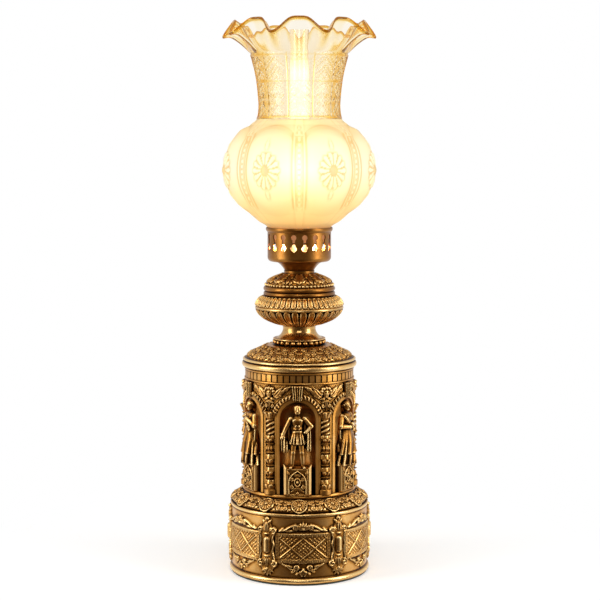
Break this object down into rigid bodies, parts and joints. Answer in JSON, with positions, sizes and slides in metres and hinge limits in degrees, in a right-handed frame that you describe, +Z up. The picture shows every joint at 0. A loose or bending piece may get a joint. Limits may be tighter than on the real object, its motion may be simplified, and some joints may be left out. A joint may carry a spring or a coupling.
{
  "type": "oil lamp",
  "caption": "Tall bronze table oil lamp: drum base, arched niches with statuettes, fluted font, pierced gallery, ruffled glass shade over a slim chimney.",
  "frame": {"origin": "middle of the underside, on the surface that the lamp stands on", "axes": "+Z up along the lamp's axis, front towards -Y, wick knob at the back towards +Y"},
  "size_m": [0.166, 0.1667, 0.6062],
  "materials": {
    "bronze": "antique patina, rubbed highlights",
    "burner_brass": "aged satin",
    "winder_brass": "aged satin",
    "felt": "pressed felt",
    "iron": "raw casting",
    "steel": "plain",
    "wick_cotton": "woven cotton tape",
    "clear_glass": "clear, smooth",
    "shade_glass": "pressed, frosted globe, clear rim"
  },
  "bodies": {
    "stand": {"felt_pad": "felt", "base_cover": "steel", "ballast_weight": "iron", "tie_rod": "steel", "base_washer": "steel", "base_nut": "steel", "base_drum": "bronze", "leaf_collar": "bronze", "niche_drum": "bronze", "dentil_ring": "bronze", "drum_cap": "bronze", "bead_collar": "bronze", "bell_neck": "bronze", "font_bowl": "bronze", "font_shoulder": "bronze", "font_ring": "bronze", "font_dome": "bronze", "figure_pedestal_1": "bronze", "figure_pedestal_2": "bronze", "figure_pedestal_3": "bronze", "figure_pedestal_4": "bronze", "figure_pedestal_5": "bronze", "figure_pedestal_6": "bronze", "niche_figure_1": "bronze", "niche_figure_2": "bronze", "niche_figure_3": "bronze", "niche_figure_4": "bronze", "niche_figure_5": "bronze", "niche_figure_6": "bronze", "twisted_column_1": "bronze", "twisted_column_2": "bronze", "twisted_column_3": "bronze", "twisted_column_4": "bronze", "twisted_column_5": "bronze", "twisted_column_6": "bronze", "burner_collar": "burner_brass"},
    "burner": {"burner_base": "burner_brass", "gallery": "burner_brass", "shade_seat": "burner_brass", "burner_basket": "burner_brass", "chimney_holder": "burner_brass", "deflector_dome": "burner_brass", "wick_tube": "burner_brass", "winder_bracket": "burner_brass"},
    "winder": {"winder_shaft": "winder_brass", "winder_wheels": "winder_brass", "winder_knob": "winder_brass"},
    "wick": {"wick": "wick_cotton"},
    "chimney": {"chimney": "clear_glass"},
    "shade": {"shade": "shade_glass"}
  },
  "joints": [
    {"name": "burner_lift", "type": "slide", "parent": "stand", "child": "burner", "axis": [0, 0, 1], "range_m": [0, 0.06]},
    {"name": "winder_turn", "type": "hinge", "parent": "burner", "child": "winder", "pos_m": [0.00608, 0, 0.3606], "axis": [0, 1, 0], "range_deg": [-95, 60]},
    {"name": "wick_lift", "type": "slide", "parent": "burner", "child": "wick", "axis": [0, 0, 1], "range_m": [-0.0078, 0.005]},
    {"name": "chimney_lift", "type": "slide", "parent": "burner", "child": "chimney", "axis": [0, 0, 1], "range_m": [0, 0.25]},
    {"name": "shade_lift", "type": "slide", "parent": "burner", "child": "shade", "axis": [0, 0, 1], "range_m": [0, 0.12]}
  ],
  "couplings": [
    {"joint": "wick_lift", "follows": "winder_turn", "m_per_rad": 0.0045777}
  ]
}
